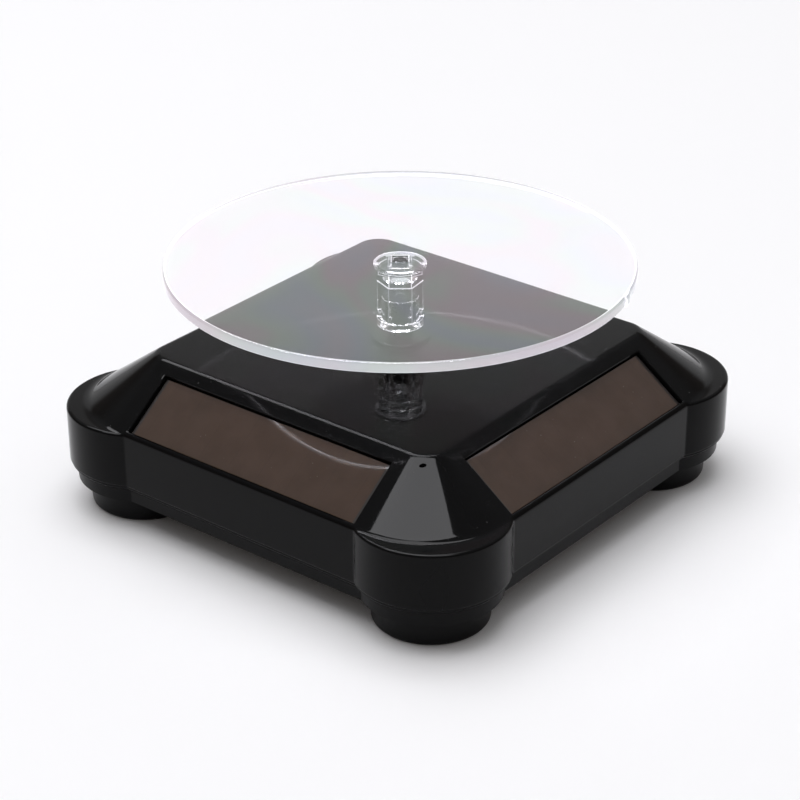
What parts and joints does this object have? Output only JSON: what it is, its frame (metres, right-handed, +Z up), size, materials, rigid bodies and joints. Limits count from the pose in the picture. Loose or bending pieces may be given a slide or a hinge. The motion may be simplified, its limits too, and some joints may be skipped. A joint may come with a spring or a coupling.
{
  "type": "turntable",
  "caption": "Small square display turntable with solar cells in sloping sides and a clear round tray on a clear hexagonal post.",
  "frame": {"origin": "on the supporting surface, under the turning axis", "axes": "+Z up along the turning axis; +X to the right and -Y to the front, square to the housing's walls"},
  "size_m": [0.104, 0.104, 0.0499],
  "materials": {
    "gloss_black_moulding": "polished gloss moulding",
    "satin_black_moulding": "fine satin moulding",
    "foot_rubber": "fine satin moulding, a little worn",
    "solar_cell": "dark brown amorphous cell behind clear glass",
    "clear_acrylic": "clear polished moulding",
    "black_acetal": "smooth self-lubricating plastic",
    "white_gear_plastic": "natural smooth moulding",
    "plated_screw": "zinc plated",
    "polished_pin": "ground steel",
    "motor_can_steel": "drawn plated steel",
    "brass_bush": "turned brass",
    "ferrite": "sintered ferrite",
    "copper_armature": "varnished copper windings on a steel core",
    "spring_contact": "nickel plated spring steel",
    "cell_jacket": "printed sleeve with no lettering",
    "switch_grey": "satin moulding",
    "board_green": "solder resist",
    "solder": "tinned pads"
  },
  "bodies": {
    "base": {"upper_housing": "gloss_black_moulding", "bottom_cover": "satin_black_moulding", "case_screws": "plated_screw", "cell_leads": "solder", "gearbox_base": "white_gear_plastic", "gearbox_cover": "white_gear_plastic", "gearbox_screws": "plated_screw", "top_bush": "black_acetal", "lower_bush": "brass_bush", "thrust_washer": "black_acetal", "gear_axle": "polished_pin", "motor_can": "motor_can_steel", "motor_end_cap": "white_gear_plastic", "motor_magnet": "ferrite", "battery_cell": "cell_jacket", "battery_plate": "spring_contact", "battery_spring": "spring_contact", "switch_body": "satin_black_moulding", "circuit_board": "board_green", "board_screws": "plated_screw", "board_components": "black_acetal", "solar_cell_front": "solar_cell", "solar_cell_right": "solar_cell", "solar_cell_back": "solar_cell", "solar_cell_left": "solar_cell", "foot_back_right": "foot_rubber", "foot_front_right": "foot_rubber", "foot_back_left": "foot_rubber", "foot_front_left": "foot_rubber"},
    "spindle": {"drive_shaft": "black_acetal", "output_gear": "white_gear_plastic", "retaining_ring": "plated_screw"},
    "tray": {"display_post": "clear_acrylic", "display_disc": "clear_acrylic"},
    "idler": {"reduction_gear": "white_gear_plastic"},
    "rotor": {"motor_shaft": "polished_pin", "motor_armature": "copper_armature", "motor_pinion": "brass_bush"},
    "switch": {"switch_knob": "switch_grey"},
    "door": {"battery_door": "satin_black_moulding"}
  },
  "joints": [
    {"name": "turntable_spin", "type": "hinge", "parent": "base", "child": "spindle", "pos_m": [0, 0, 0.02], "axis": [0, 0, 1], "continuous": true},
    {"name": "tray_lift", "type": "slide", "parent": "spindle", "child": "tray", "axis": [0, 0, 1], "range_m": [0, 0.008]},
    {"name": "idler_spin", "type": "hinge", "parent": "base", "child": "idler", "pos_m": [0, 0.017, 0.022], "axis": [0, 0, 1], "continuous": true},
    {"name": "rotor_spin", "type": "hinge", "parent": "base", "child": "rotor", "pos_m": [0.012, 0.026, 0.02], "axis": [0, 0, 1], "continuous": true},
    {"name": "switch_slide", "type": "slide", "parent": "base", "child": "switch", "axis": [1, 0, 0], "range_m": [0, 0.003]},
    {"name": "battery_door_hinge", "type": "hinge", "parent": "base", "child": "door", "pos_m": [0, -0.01628, 0.00658], "axis": [1, 0, 0], "range_deg": [0, 95]}
  ],
  "couplings": [
    {"joint": "idler_spin", "follows": "turntable_spin", "ratio": -4.6667},
    {"joint": "rotor_spin", "follows": "turntable_spin", "ratio": 18.667}
  ]
}
